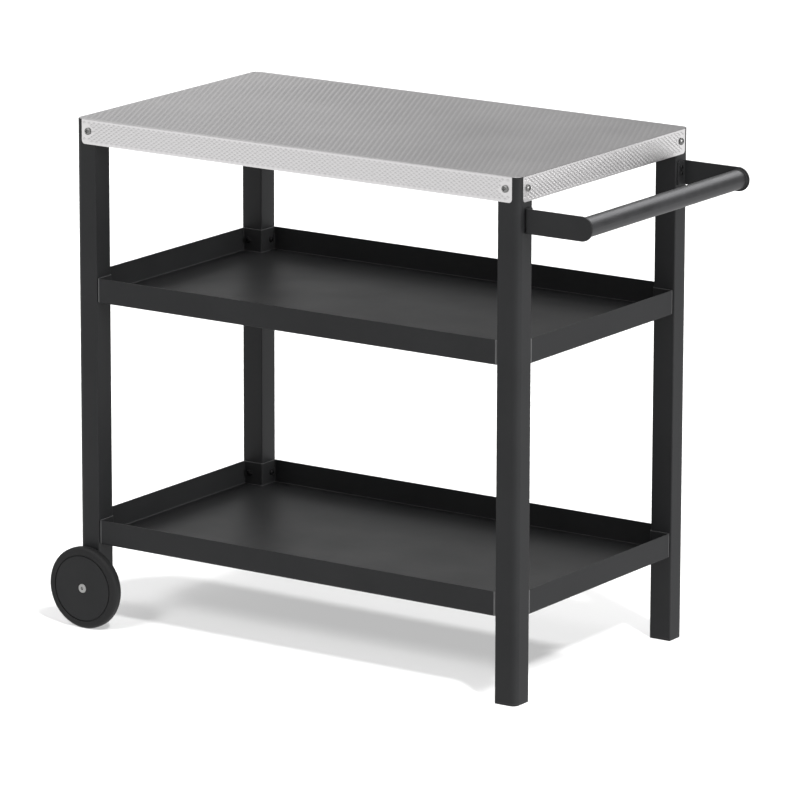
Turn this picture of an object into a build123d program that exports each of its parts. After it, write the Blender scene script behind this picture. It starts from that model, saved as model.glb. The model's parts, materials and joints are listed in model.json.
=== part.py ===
"""Grill cart: an embossed steel top on four tube legs, two tray shelves, a welded
handle at one end and a pair of wheels at the other.

Frame: millimetres, +Z up, the floor at Z = 0, the origin under the middle of the
cart's box. +X points to the handle, -X to the wheels, -Y to the front.
"""

import os

from build123d import *

os.makedirs("parts", exist_ok=True)

# --- overall sizes -----------------------------------------------------------
HEIGHT = 848.4        # floor to work surface
TOP_L = 855.0         # top, along X, outside the skirts
TOP_W = 502.4         # top, along Y, outside the skirts
REACH = 977.9         # wheel-side edge of the top to the far side of the handle

# --- top ---------------------------------------------------------------------
SHEET = 1.0           # top sheet thickness
SKIRT = 41.6          # depth of the folded skirts
TOP_BEND = 2.0        # outside radius of the fold
TOP_CORNER = 13.0     # plan radius of the plate's corners
SKIRT_GAP = 13.5      # each skirt stops this far from the corner
SKIRT_ROUND = 6.0     # lower corners of the skirts
SCREW_IN = 26.0       # screw to the corner of the top
SCREW_Z = 828.0

# --- braces under the top ----------------------------------------------------
BRACE_X = 150.0       # each side of the middle of the top
BRACE_DEEP = 20.0
BRACE_WIDE = 36.0
BRACE_FLANGE = 14.0

# --- legs --------------------------------------------------------------------
LEG = 39.0            # tube, outside
LEG_WALL = 1.5
LEG_R_OUT = 11.5      # corner that faces away from the cart
LEG_R_IN = 2.0        # other three corners
FOOT = 4.0            # foot cap under the handle-side legs
WHEEL_LEG_Z = 40.0    # lower end of the wheel-side legs
END_CAP = 3.0

# --- shelves -----------------------------------------------------------------
TRAY_T = 1.2
TRAY_WALL = 40.5
TRAY_IN = 3.0         # wall to the edge of the top
TRAY_CORNER = 4.0     # upright folds at the notches
TRAY_CREASE = 1.5     # fold round the leg's inner corner
TRAY_BEND = 3.2       # fold between floor and wall, outside
MIDDLE_Z = 546.1      # underside of the shelves
BOTTOM_Z = 141.4
TRAY_BOLT_IN = 14.0   # tray bolts to the edge of the top

# --- handle ------------------------------------------------------------------
ARM_T = 3.0
ARM_R = 19.6          # rounded end; the arm is twice as tall
ARM_IN = 17.1         # outside of the arm to the edge of the top
ARM_FLANGE = 19.5
ARM_BEND = 5.0        # outside radius of the fold
HANDLE_Z = 777.4
BAR_R = 16.0
BAR_WALL = 1.5
BEAD = 1.6            # leg length of the weld
HANDLE_BOLT = 5.2     # bolts above and below the middle of the pair
HANDLE_BOLT_UP = 4.2  # middle of the pair above the arm's middle
HANDLE_BOLT_Y = 12.0  # bolts to the outside of the arm

# --- wheels ------------------------------------------------------------------
WHEEL_R = 68.4
WHEEL_W = 19.5
WHEEL_OUT = 20.0      # wheel's outer face to the edge of the top
SHOULDER = 7.0        # rounded tread edges
TYRE_IN = 55.7
HUB_FACE = 53.9       # face of the hub, inside the ring groove
HUB_RIM = 51.2        # inside of the hub's rim, behind the web
HUB_BOSS = 16.0
GROOVE = 2.0
AXLE_IN = 20.5        # axle to the wheel-side edge of the top, the leg's middle
AXLE_R = 4.0
AXLE_HEAD_R = 8.0
AXLE_HEAD_H = 4.2

# --- fasteners (M6, and M5 in the handle) ------------------------------------
SHANK_R = 2.9
NUT_BORE = 3.0
NUT_BODY = 4.5
CLEAR_R = 3.3         # clearance holes in sheet
SMALL_SHANK_R = 2.4
SMALL_NUT_BORE = 2.5
SMALL_NUT_BODY = 3.5
SMALL_CLEAR_R = 2.8

# --- derived places ----------------------------------------------------------
X_LEFT = -(REACH + AXLE_IN - WHEEL_R) / 2
X_RIGHT = X_LEFT + TOP_L
X_MID = (X_LEFT + X_RIGHT) / 2
Y_FRONT = -TOP_W / 2
LEG_TOP = HEIGHT - SHEET
LEG_FAR = SHEET + LEG          # leg's inner faces to the edge of the top
LEG_MID = SHEET + LEG / 2
AXLE_X = X_LEFT + AXLE_IN
AXLE_Z = WHEEL_R
WHEEL_FACE = Y_FRONT - WHEEL_OUT
WHEEL_BACK = WHEEL_FACE + WHEEL_W
AXLE = Axis((AXLE_X, 0, AXLE_Z), (0, 1, 0))
BAR_X = X_LEFT + REACH - ARM_R
ARM_Y = Y_FRONT + ARM_IN
FLANGE_X = X_RIGHT - SHEET     # handle-side faces of the handle-side legs
HANDLE_BOLT_Z = (
    HANDLE_Z + HANDLE_BOLT_UP + HANDLE_BOLT,
    HANDLE_Z + HANDLE_BOLT_UP - HANDLE_BOLT,
)


def facing(x, y, z, direction):
    """A plane at a point on a surface, its normal pointing out of the surface."""
    return Plane(origin=(x, y, z), z_dir=direction)


OUT = {"-X": (-1, 0, 0), "+X": (1, 0, 0), "-Y": (0, -1, 0), "+Y": (0, 1, 0)}

# =============================================================================
# Top: a plate with four folded skirts
# =============================================================================
with BuildPart() as table_top:
    with BuildSketch(Plane.XY.offset(HEIGHT - SKIRT)):
        with Locations((X_MID, 0)):
            RectangleRounded(TOP_L, TOP_W, TOP_CORNER)
    extrude(amount=SKIRT)
    fillet(table_top.faces().sort_by(Axis.Z)[-1].edges(), radius=TOP_BEND)
    with BuildSketch(Plane.XY.offset(HEIGHT - SKIRT)):
        with Locations((X_MID, 0)):
            RectangleRounded(TOP_L - 2 * SHEET, TOP_W - 2 * SHEET, TOP_CORNER - SHEET)
    extrude(amount=SKIRT - SHEET, mode=Mode.SUBTRACT)
    # open corners: the skirts stop short of them
    with BuildSketch(Plane.XY.offset(HEIGHT - SKIRT)):
        with Locations((X_MID, 0)):
            with GridLocations(TOP_L - SKIRT_GAP, TOP_W - SKIRT_GAP, 2, 2):
                Rectangle(SKIRT_GAP, SKIRT_GAP)
    extrude(amount=SKIRT - SHEET, mode=Mode.SUBTRACT)
    skirt_corners = table_top.edges().filter_by(
        lambda e: abs(e.length - SHEET) < 1e-3
        and abs(e.center().Z - (HEIGHT - SKIRT)) < 1e-3
        and abs(e.bounding_box().size.Z) < 1e-3
    )
    fillet(skirt_corners, radius=SKIRT_ROUND)
    # screw holes, two at each corner
    with Locations(
        *[
            facing(x, side * TOP_W / 2, SCREW_Z, (0, side, 0))
            for x in (X_LEFT + SCREW_IN, X_RIGHT - SCREW_IN)
            for side in (-1, 1)
        ],
        *[
            facing(X_MID + side * TOP_L / 2, y, SCREW_Z, (side, 0, 0))
            for y in (Y_FRONT + SCREW_IN, -Y_FRONT - SCREW_IN)
            for side in (-1, 1)
        ],
    ):
        Hole(CLEAR_R, depth=3 * SHEET)

# =============================================================================
# Braces: hat channels spot-welded under the plate
# =============================================================================
with BuildPart() as top_brace_left:
    with BuildSketch(Plane.XZ.offset(Y_FRONT + SHEET + 0.5)):
        with BuildLine(Plane.XY):
            w, f, d, t, z = BRACE_WIDE / 2, BRACE_FLANGE, BRACE_DEEP, SHEET, LEG_TOP
            c = X_MID - BRACE_X
            Polyline(
                (c - w - f, z), (c - w + t, z), (c - w + t, z - d + t),
                (c + w - t, z - d + t), (c + w - t, z), (c + w + f, z),
                (c + w + f, z - t), (c + w, z - t), (c + w, z - d),
                (c - w, z - d), (c - w, z - t), (c - w - f, z - t),
                close=True,
            )
        make_face()
    extrude(amount=TOP_W - 2 * SHEET - 1.0)

with BuildPart() as top_brace_right:
    with Locations((2 * BRACE_X, 0, 0)):
        add(top_brace_left.part)

# =============================================================================
# Legs: square tube with one large corner radius
# =============================================================================
with BuildSketch() as leg_outline:
    with Locations((X_LEFT + LEG_MID, Y_FRONT + LEG_MID)):
        Rectangle(LEG, LEG)
    by_corner = leg_outline.vertices().sort_by_distance((X_LEFT, Y_FRONT, 0))
    fillet(by_corner[1:], radius=LEG_R_IN)
    fillet(
        leg_outline.vertices().sort_by_distance((X_LEFT, Y_FRONT, 0))[0],
        radius=LEG_R_OUT,
    )

with BuildSketch() as leg_section:
    add(leg_outline.sketch)
    offset(leg_outline.sketch, amount=-LEG_WALL, mode=Mode.SUBTRACT)

with BuildSketch() as right_leg_outline:
    with Locations((X_RIGHT - LEG_MID, Y_FRONT + LEG_MID)):
        Rectangle(LEG, LEG)
    by_corner = right_leg_outline.vertices().sort_by_distance((X_RIGHT, Y_FRONT, 0))
    fillet(by_corner[1:], radius=LEG_R_IN)
    fillet(
        right_leg_outline.vertices().sort_by_distance((X_RIGHT, Y_FRONT, 0))[0],
        radius=LEG_R_OUT,
    )

with BuildSketch() as right_leg_section:
    add(right_leg_outline.sketch)
    offset(right_leg_outline.sketch, amount=-LEG_WALL, mode=Mode.SUBTRACT)

with BuildPart() as leg_front_left:
    with BuildSketch(Plane.XY.offset(WHEEL_LEG_Z)):
        add(leg_section.sketch)
    extrude(amount=LEG_TOP - WHEEL_LEG_Z)
    # rivet nut holes: the top's two screws, then two bolts for each shelf
    with Locations(
        facing(X_LEFT + SCREW_IN, Y_FRONT + SHEET, SCREW_Z, OUT["-Y"]),
        facing(X_LEFT + SHEET, Y_FRONT + SCREW_IN, SCREW_Z, OUT["-X"]),
        *[
            facing(X_LEFT + LEG_FAR, Y_FRONT + TRAY_BOLT_IN, z + TRAY_WALL / 2, OUT["+X"])
            for z in (MIDDLE_Z, BOTTOM_Z)
        ],
        *[
            facing(X_LEFT + TRAY_BOLT_IN, Y_FRONT + LEG_FAR, z + TRAY_WALL / 2, OUT["+Y"])
            for z in (MIDDLE_Z, BOTTOM_Z)
        ],
    ):
        Hole(NUT_BODY + 0.02, depth=2 * LEG_WALL)
    # axle hole through both walls
    with Locations(facing(AXLE_X, Y_FRONT + LEG_FAR, AXLE_Z, OUT["+Y"])):
        Hole(AXLE_R + 0.3, depth=LEG)

with BuildPart() as leg_rear_left:
    mirror(leg_front_left.part, about=Plane.XZ)

with BuildPart() as leg_front_right:
    with BuildSketch(Plane.XY.offset(FOOT)):
        add(right_leg_section.sketch)
    extrude(amount=LEG_TOP - FOOT)
    with Locations(
        facing(X_RIGHT - SCREW_IN, Y_FRONT + SHEET, SCREW_Z, OUT["-Y"]),
        facing(X_RIGHT - SHEET, Y_FRONT + SCREW_IN, SCREW_Z, OUT["+X"]),
        *[
            facing(X_RIGHT - LEG_FAR, Y_FRONT + TRAY_BOLT_IN, z + TRAY_WALL / 2, OUT["-X"])
            for z in (MIDDLE_Z, BOTTOM_Z)
        ],
        *[
            facing(X_RIGHT - TRAY_BOLT_IN, Y_FRONT + LEG_FAR, z + TRAY_WALL / 2, OUT["+Y"])
            for z in (MIDDLE_Z, BOTTOM_Z)
        ],
    ):
        Hole(NUT_BODY + 0.02, depth=2 * LEG_WALL)
    with Locations(
        *[facing(FLANGE_X, ARM_Y + HANDLE_BOLT_Y, z, OUT["+X"]) for z in HANDLE_BOLT_Z]
    ):
        Hole(SMALL_NUT_BODY + 0.02, depth=2 * LEG_WALL)

with BuildPart() as leg_rear_right:
    mirror(leg_front_right.part, about=Plane.XZ)

# =============================================================================
# Foot caps under the handle-side legs, end caps in the wheel-side legs
# =============================================================================
with BuildPart() as leg_end_cap_front_left:
    with BuildSketch(Plane.XY.offset(WHEEL_LEG_Z - END_CAP)):
        add(leg_outline.sketch)
    extrude(amount=END_CAP)
    fillet(leg_end_cap_front_left.faces().sort_by(Axis.Z)[0].edges(), radius=1.0)
    with BuildSketch(Plane.XY.offset(WHEEL_LEG_Z)):
        offset(leg_outline.sketch, amount=-(LEG_WALL + 0.1))
        offset(leg_outline.sketch, amount=-(LEG_WALL + 2.1), mode=Mode.SUBTRACT)
    extrude(amount=15.0)

with BuildPart() as leg_end_cap_rear_left:
    mirror(leg_end_cap_front_left.part, about=Plane.XZ)

with BuildPart() as foot_cap_front_right:
    with BuildSketch():
        add(right_leg_outline.sketch)
    extrude(amount=FOOT)
    fillet(foot_cap_front_right.faces().sort_by(Axis.Z)[0].edges(), radius=1.2)
    with BuildSketch(Plane.XY.offset(FOOT)):
        offset(right_leg_outline.sketch, amount=-(LEG_WALL + 0.1))
        offset(right_leg_outline.sketch, amount=-(LEG_WALL + 2.1), mode=Mode.SUBTRACT)
    extrude(amount=18.0)

with BuildPart() as foot_cap_rear_right:
    mirror(foot_cap_front_right.part, about=Plane.XZ)

# =============================================================================
# Shelves: trays with folded walls, notched round the legs
# =============================================================================
TRAY_A, TRAY_B = TOP_L / 2 - TRAY_IN, TOP_W / 2 - TRAY_IN
NOTCH_A, NOTCH_B = TOP_L / 2 - LEG_FAR, TOP_W / 2 - LEG_FAR

with BuildSketch() as tray_outline:
    with BuildLine():
        Polyline(
            *[
                (X_MID + x, y)
                for x, y in (
                    (-NOTCH_A, -TRAY_B), (NOTCH_A, -TRAY_B), (NOTCH_A, -NOTCH_B),
                    (TRAY_A, -NOTCH_B), (TRAY_A, NOTCH_B), (NOTCH_A, NOTCH_B),
                    (NOTCH_A, TRAY_B), (-NOTCH_A, TRAY_B), (-NOTCH_A, NOTCH_B),
                    (-TRAY_A, NOTCH_B), (-TRAY_A, -NOTCH_B), (-NOTCH_A, -NOTCH_B),
                )
            ],
            close=True,
        )
    make_face()
    creases = tray_outline.vertices().filter_by(
        lambda v: abs(abs(v.X - X_MID) - NOTCH_A) < 0.01 and abs(abs(v.Y) - NOTCH_B) < 0.01
    )
    fillet(creases, radius=TRAY_CREASE)
    folds = tray_outline.vertices().filter_by(
        lambda v: (abs(abs(v.X - X_MID) - NOTCH_A) < 0.01 and abs(abs(v.Y) - TRAY_B) < 0.01)
        or (abs(abs(v.X - X_MID) - TRAY_A) < 0.01 and abs(abs(v.Y) - NOTCH_B) < 0.01)
    )
    fillet(folds, radius=TRAY_CORNER)

with BuildPart() as middle_shelf:
    with BuildSketch(Plane.XY.offset(MIDDLE_Z)):
        add(tray_outline.sketch)
    extrude(amount=TRAY_WALL)
    fillet(middle_shelf.faces().sort_by(Axis.Z)[0].edges(), radius=TRAY_BEND)
    with BuildSketch(Plane.XY.offset(MIDDLE_Z + TRAY_T)):
        offset(tray_outline.sketch, amount=-TRAY_T)
    extrude(amount=TRAY_WALL, mode=Mode.SUBTRACT)
    floor_face = middle_shelf.faces().filter_by(Axis.Z).sort_by(Axis.Z)[1]
    fillet(floor_face.edges(), radius=TRAY_BEND - TRAY_T)
    # bolt holes in the notch walls, two at each corner
    with Locations(
        *[
            facing(
                X_MID + sx * (NOTCH_A - TRAY_T), sy * (TOP_W / 2 - TRAY_BOLT_IN),
                MIDDLE_Z + TRAY_WALL / 2, (-sx, 0, 0),
            )
            for sx in (-1, 1)
            for sy in (-1, 1)
        ],
        *[
            facing(
                X_MID + sx * (TOP_L / 2 - TRAY_BOLT_IN), sy * (NOTCH_B - TRAY_T),
                MIDDLE_Z + TRAY_WALL / 2, (0, -sy, 0),
            )
            for sx in (-1, 1)
            for sy in (-1, 1)
        ],
    ):
        Hole(CLEAR_R, depth=2 * TRAY_T)

with BuildPart() as bottom_shelf:
    with Locations((0, 0, BOTTOM_Z - MIDDLE_Z)):
        add(middle_shelf.part)

# =============================================================================
# Handle: two bent arms, a tube between them and the weld round each end
# =============================================================================
with BuildPart() as handle_arm_front:
    with BuildSketch(Plane.XY.offset(HANDLE_Z - ARM_R)) as arm_plan:
        with BuildLine():
            Polyline(
                (FLANGE_X, ARM_Y + ARM_FLANGE), (FLANGE_X, ARM_Y),
                (BAR_X + ARM_R, ARM_Y), (BAR_X + ARM_R, ARM_Y + ARM_T),
                (FLANGE_X + ARM_T, ARM_Y + ARM_T), (FLANGE_X + ARM_T, ARM_Y + ARM_FLANGE),
                close=True,
            )
        make_face()
        fillet(
            arm_plan.vertices().sort_by_distance((FLANGE_X, ARM_Y, 0))[0],
            radius=ARM_BEND,
        )
        fillet(
            arm_plan.vertices().sort_by_distance((FLANGE_X + ARM_T, ARM_Y + ARM_T, 0))[0],
            radius=ARM_BEND - ARM_T,
        )
    extrude(amount=2 * ARM_R)
    # rounded far end
    with BuildSketch(Plane.XZ.offset(-(ARM_Y - 1.0))):
        with Locations((BAR_X + (ARM_R + 1) / 2, HANDLE_Z)):
            Rectangle(ARM_R + 1, 2 * ARM_R + 2)
        with Locations((BAR_X, HANDLE_Z)):
            Circle(ARM_R, mode=Mode.SUBTRACT)
    extrude(amount=-(ARM_T + 2.0), mode=Mode.SUBTRACT)
    # rounded flange corners
    fillet(
        handle_arm_front.edges()
        .filter_by(Axis.X)
        .filter_by(lambda e: abs(e.center().Y - (ARM_Y + ARM_FLANGE)) < 0.01),
        radius=3.0,
    )
    with Locations(
        *[facing(FLANGE_X + ARM_T, ARM_Y + HANDLE_BOLT_Y, z, OUT["+X"]) for z in HANDLE_BOLT_Z]
    ):
        Hole(SMALL_CLEAR_R, depth=ARM_T + 1)

with BuildPart() as handle_arm_rear:
    mirror(handle_arm_front.part, about=Plane.XZ)

BAR_Y = ARM_Y + ARM_T
with BuildPart() as handle_bar:
    with BuildSketch(Plane.XZ.offset(BAR_Y)):
        with Locations((BAR_X, HANDLE_Z)):
            Circle(BAR_R)
            Circle(BAR_R - BAR_WALL, mode=Mode.SUBTRACT)
    extrude(amount=-2 * BAR_Y)

with BuildPart() as handle_weld_beads:
    with BuildSketch(Plane.XY.offset(HANDLE_Z)):
        with BuildLine():
            inner = BAR_X + BAR_R + 0.02
            Polyline(
                (inner, BAR_Y), (inner + BEAD, BAR_Y), (inner, BAR_Y + BEAD), close=True
            )
        make_face()
    revolve(axis=Axis((BAR_X, 0, HANDLE_Z), (0, 1, 0)))
    mirror(about=Plane.XZ)

# =============================================================================
# Fasteners: one of each, drawn along +Z with the underside of the head at Z = 0
# =============================================================================
with BuildPart() as pan_screw:
    with BuildSketch(Plane.XZ):
        with BuildLine():
            l1 = Polyline((0, -14.0), (SHANK_R - 0.6, -14.0), (SHANK_R, -13.0), (SHANK_R, 0), (5.8, 0), (5.8, 0.9))
            l2 = ThreePointArc(l1 @ 1, (3.9, 2.75), (0, 3.4))
            Line(l2 @ 1, l1 @ 0)
        make_face()
    revolve(axis=Axis.Z)
    with BuildSketch(Plane.XY.offset(1.5)):
        Rectangle(6.0, 1.3)
        Rectangle(1.3, 6.0)
    extrude(amount=3.0, mode=Mode.SUBTRACT)

with BuildPart() as button_bolt:
    with BuildSketch(Plane.XZ):
        with BuildLine():
            l1 = Polyline((0, -14.0), (SHANK_R - 0.6, -14.0), (SHANK_R, -13.0), (SHANK_R, 0), (5.5, 0), (5.5, 0.6))
            l2 = ThreePointArc(l1 @ 1, (4.4, 2.4), (2.8, 3.2))
            Polyline(l2 @ 1, (0, 3.2), l1 @ 0)
        make_face()
    revolve(axis=Axis.Z)
    with BuildSketch(Plane.XY.offset(1.2)):
        RegularPolygon(radius=2.0, side_count=6, major_radius=False)
    extrude(amount=3.0, mode=Mode.SUBTRACT)

with BuildPart() as handle_bolt:
    with BuildSketch(Plane.XZ):
        with BuildLine():
            r = SMALL_SHANK_R
            l1 = Polyline((0, -15.0), (r - 0.5, -15.0), (r, -14.2), (r, 0), (4.7, 0), (4.7, 0.5))
            l2 = ThreePointArc(l1 @ 1, (3.8, 2.05), (2.4, 2.7))
            Polyline(l2 @ 1, (0, 2.7), l1 @ 0)
        make_face()
    revolve(axis=Axis.Z)
    with BuildSketch(Plane.XY.offset(1.0)):
        RegularPolygon(radius=1.5, side_count=6, major_radius=False)
    extrude(amount=3.0, mode=Mode.SUBTRACT)

# flush rivet nuts: the body sits in the tube wall, the set bulge bears behind it
with BuildPart() as rivet_nut:
    with BuildSketch(Plane.XZ):
        with BuildLine():
            Polyline(
                (NUT_BORE, 0), (NUT_BODY, 0), (NUT_BODY, -LEG_WALL), (6.0, -LEG_WALL),
                (6.0, -LEG_WALL - 1.6), (NUT_BODY, -LEG_WALL - 3.0), (NUT_BODY, -12.0),
                (NUT_BORE, -12.0), close=True,
            )
        make_face()
    revolve(axis=Axis.Z)

with BuildPart() as small_rivet_nut:
    with BuildSketch(Plane.XZ):
        with BuildLine():
            b, n = SMALL_NUT_BORE, SMALL_NUT_BODY
            Polyline(
                (b, 0), (n, 0), (n, -LEG_WALL), (4.7, -LEG_WALL), (4.7, -LEG_WALL - 1.3),
                (n, -LEG_WALL - 2.5), (n, -10.5), (b, -10.5), close=True,
            )
        make_face()
    revolve(axis=Axis.Z)

# places of the fasteners on the faces of the legs, by how far the head stands off
def top_places(stand_off):
    return [
        facing(x, side * (TOP_W / 2 - SHEET + stand_off), SCREW_Z, (0, side, 0))
        for x in (X_LEFT + SCREW_IN, X_RIGHT - SCREW_IN)
        for side in (-1, 1)
    ] + [
        facing(X_MID + side * (TOP_L / 2 - SHEET + stand_off), y, SCREW_Z, (side, 0, 0))
        for y in (Y_FRONT + SCREW_IN, -Y_FRONT - SCREW_IN)
        for side in (-1, 1)
    ]


def shelf_places(z, stand_off):
    z = z + TRAY_WALL / 2
    return [
        facing(X_MID + sx * (NOTCH_A - stand_off), sy * (TOP_W / 2 - TRAY_BOLT_IN), z, (-sx, 0, 0))
        for sx in (-1, 1)
        for sy in (-1, 1)
    ] + [
        facing(X_MID + sx * (TOP_L / 2 - TRAY_BOLT_IN), sy * (NOTCH_B - stand_off), z, (0, -sy, 0))
        for sx in (-1, 1)
        for sy in (-1, 1)
    ]


def handle_places(stand_off):
    return [
        facing(FLANGE_X + stand_off, side * -(ARM_Y + HANDLE_BOLT_Y), z, OUT["+X"])
        for side in (-1, 1)
        for z in HANDLE_BOLT_Z
    ]


with BuildPart() as top_screws:
    with Locations(*top_places(SHEET)):
        add(pan_screw.part)

with BuildPart() as top_rivet_nuts:
    with Locations(*top_places(0)):
        add(rivet_nut.part)

with BuildPart() as middle_shelf_bolts:
    with Locations(*shelf_places(MIDDLE_Z, TRAY_T)):
        add(button_bolt.part)

with BuildPart() as middle_shelf_rivet_nuts:
    with Locations(*shelf_places(MIDDLE_Z, 0)):
        add(rivet_nut.part)

with BuildPart() as bottom_shelf_bolts:
    with Locations(*shelf_places(BOTTOM_Z, TRAY_T)):
        add(button_bolt.part)

with BuildPart() as bottom_shelf_rivet_nuts:
    with Locations(*shelf_places(BOTTOM_Z, 0)):
        add(rivet_nut.part)

with BuildPart() as handle_bolts:
    with Locations(*handle_places(ARM_T)):
        add(handle_bolt.part)

with BuildPart() as handle_rivet_nuts:
    with Locations(*handle_places(0)):
        add(small_rivet_nut.part)

# =============================================================================
# Front wheel: hub, tyre and bush turn; bolt, washers, spacer and nut stand still
# =============================================================================
WHEEL_PLANE = Plane(origin=(AXLE_X, 0, AXLE_Z), x_dir=(1, 0, 0), z_dir=(0, 0, 1))

with BuildPart() as wheel_hub_front:
    with BuildSketch(WHEEL_PLANE):
        with BuildLine():
            Polyline(
                (7.02, WHEEL_FACE + 4.8), (AXLE_HEAD_R + 0.4, WHEEL_FACE + 4.8),
                (AXLE_HEAD_R + 0.4, WHEEL_FACE),
                (HUB_FACE, WHEEL_FACE), (HUB_FACE, WHEEL_FACE + GROOVE),
                (TYRE_IN - 0.02, WHEEL_FACE + GROOVE), (TYRE_IN - 0.02, WHEEL_BACK - 1.0),
                (HUB_RIM, WHEEL_BACK - 1.0), (HUB_RIM, WHEEL_FACE + 6.0),
                (HUB_BOSS, WHEEL_FACE + 6.0), (HUB_BOSS, WHEEL_BACK), (7.02, WHEEL_BACK),
                close=True,
            )
        make_face()
    revolve(axis=AXLE)
    # ribs behind the web
    with BuildSketch(Plane(origin=(AXLE_X, WHEEL_FACE + 5.5, AXLE_Z), x_dir=(1, 0, 0), z_dir=(0, 1, 0))):
        with PolarLocations((HUB_BOSS + HUB_RIM) / 2, 8):
            Rectangle(HUB_RIM - HUB_BOSS + 1.5, 3.0)
    extrude(amount=WHEEL_W - 8.5)
    fillet(
        wheel_hub_front.edges()
        .filter_by(GeomType.CIRCLE)
        .filter_by(lambda e: abs(e.radius - HUB_FACE) < 0.01 and abs(e.center().Y - WHEEL_FACE) < 0.01),
        radius=0.8,
    )

with BuildPart() as wheel_tyre_front:
    with BuildSketch(WHEEL_PLANE) as tyre_section:
        with BuildLine():
            Polyline(
                (TYRE_IN, WHEEL_FACE), (WHEEL_R, WHEEL_FACE),
                (WHEEL_R, WHEEL_BACK), (TYRE_IN, WHEEL_BACK), close=True,
            )
        make_face()
        fillet(
            tyre_section.vertices().filter_by(lambda v: abs(v.X - TYRE_IN) < 0.01),
            radius=0.8,
        )
        fillet(
            tyre_section.vertices().filter_by(lambda v: abs(v.X - WHEEL_R) < 0.01),
            radius=SHOULDER,
        )
    revolve(axis=AXLE)

with BuildPart() as wheel_bush_front:
    with BuildSketch(WHEEL_PLANE):
        with BuildLine():
            Polyline(
                (AXLE_R + 0.05, WHEEL_FACE + 4.7), (7.0, WHEEL_FACE + 4.7),
                (7.0, Y_FRONT - 0.1), (AXLE_R + 0.05, Y_FRONT - 0.1), close=True,
            )
        make_face()
    revolve(axis=AXLE)

with BuildPart() as axle_bolt_front:
    with BuildSketch(WHEEL_PLANE) as axle_section:
        with BuildLine():
            tip = Y_FRONT + LEG_FAR + 11.5
            Polyline(
                (0, WHEEL_FACE + 0.2), (AXLE_HEAD_R, WHEEL_FACE + 0.2),
                (AXLE_HEAD_R, WHEEL_FACE + 0.2 + AXLE_HEAD_H),
                (AXLE_R, WHEEL_FACE + 0.2 + AXLE_HEAD_H), (AXLE_R, tip - 1.0),
                (AXLE_R - 1.0, tip), (0, tip), close=True,
            )
        make_face()
        fillet(
            axle_section.vertices().sort_by_distance((AXLE_HEAD_R, WHEEL_FACE + 0.2, 0))[0],
            radius=1.2,
        )
    revolve(axis=AXLE)
    with BuildSketch(Plane(origin=(AXLE_X, WHEEL_FACE + 0.2, AXLE_Z), x_dir=(1, 0, 0), z_dir=(0, 1, 0))):
        RegularPolygon(radius=2.5, side_count=6, major_radius=False)
    extrude(amount=2.2, mode=Mode.SUBTRACT)

with BuildPart() as axle_washers_front:
    with BuildSketch(WHEEL_PLANE):
        with BuildLine():
            Polyline(
                (AXLE_R + 0.2, Y_FRONT), (9.0, Y_FRONT),
                (9.0, Y_FRONT + SHEET), (AXLE_R + 0.2, Y_FRONT + SHEET), close=True,
            )
        make_face()
        with BuildLine():
            Polyline(
                (AXLE_R + 0.2, Y_FRONT + LEG_FAR), (9.0, Y_FRONT + LEG_FAR),
                (9.0, Y_FRONT + LEG_FAR + 1.6), (AXLE_R + 0.2, Y_FRONT + LEG_FAR + 1.6), close=True,
            )
        make_face()
    revolve(axis=AXLE)

with BuildPart() as axle_spacer_front:
    with BuildSketch(WHEEL_PLANE):
        with BuildLine():
            near, far = Y_FRONT + SHEET + LEG_WALL, Y_FRONT + LEG_FAR - LEG_WALL
            Polyline(
                (AXLE_R + 0.2, near), (6.5, near), (6.5, far), (AXLE_R + 0.2, far), close=True
            )
        make_face()
    revolve(axis=AXLE)

with BuildPart() as axle_lock_nut_front:
    nut_y = Y_FRONT + LEG_FAR + 1.6
    with BuildSketch(Plane(origin=(AXLE_X, nut_y, AXLE_Z), x_dir=(1, 0, 0), z_dir=(0, 1, 0))):
        RegularPolygon(radius=6.5, side_count=6, major_radius=False)
        Circle(AXLE_R + 0.02, mode=Mode.SUBTRACT)
    extrude(amount=6.3)
    with BuildSketch(Plane(origin=(AXLE_X, nut_y + 6.3, AXLE_Z), x_dir=(1, 0, 0), z_dir=(0, 1, 0))):
        Circle(5.9)
        Circle(AXLE_R + 0.02, mode=Mode.SUBTRACT)
    extrude(amount=1.7, taper=12)

# =============================================================================
# Rear wheel: the mirror image
# =============================================================================
with BuildPart() as wheel_hub_rear:
    mirror(wheel_hub_front.part, about=Plane.XZ)

with BuildPart() as wheel_tyre_rear:
    mirror(wheel_tyre_front.part, about=Plane.XZ)

with BuildPart() as wheel_bush_rear:
    mirror(wheel_bush_front.part, about=Plane.XZ)

with BuildPart() as axle_bolt_rear:
    mirror(axle_bolt_front.part, about=Plane.XZ)

with BuildPart() as axle_washers_rear:
    mirror(axle_washers_front.part, about=Plane.XZ)

with BuildPart() as axle_spacer_rear:
    mirror(axle_spacer_front.part, about=Plane.XZ)

with BuildPart() as axle_lock_nut_rear:
    mirror(axle_lock_nut_front.part, about=Plane.XZ)

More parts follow.
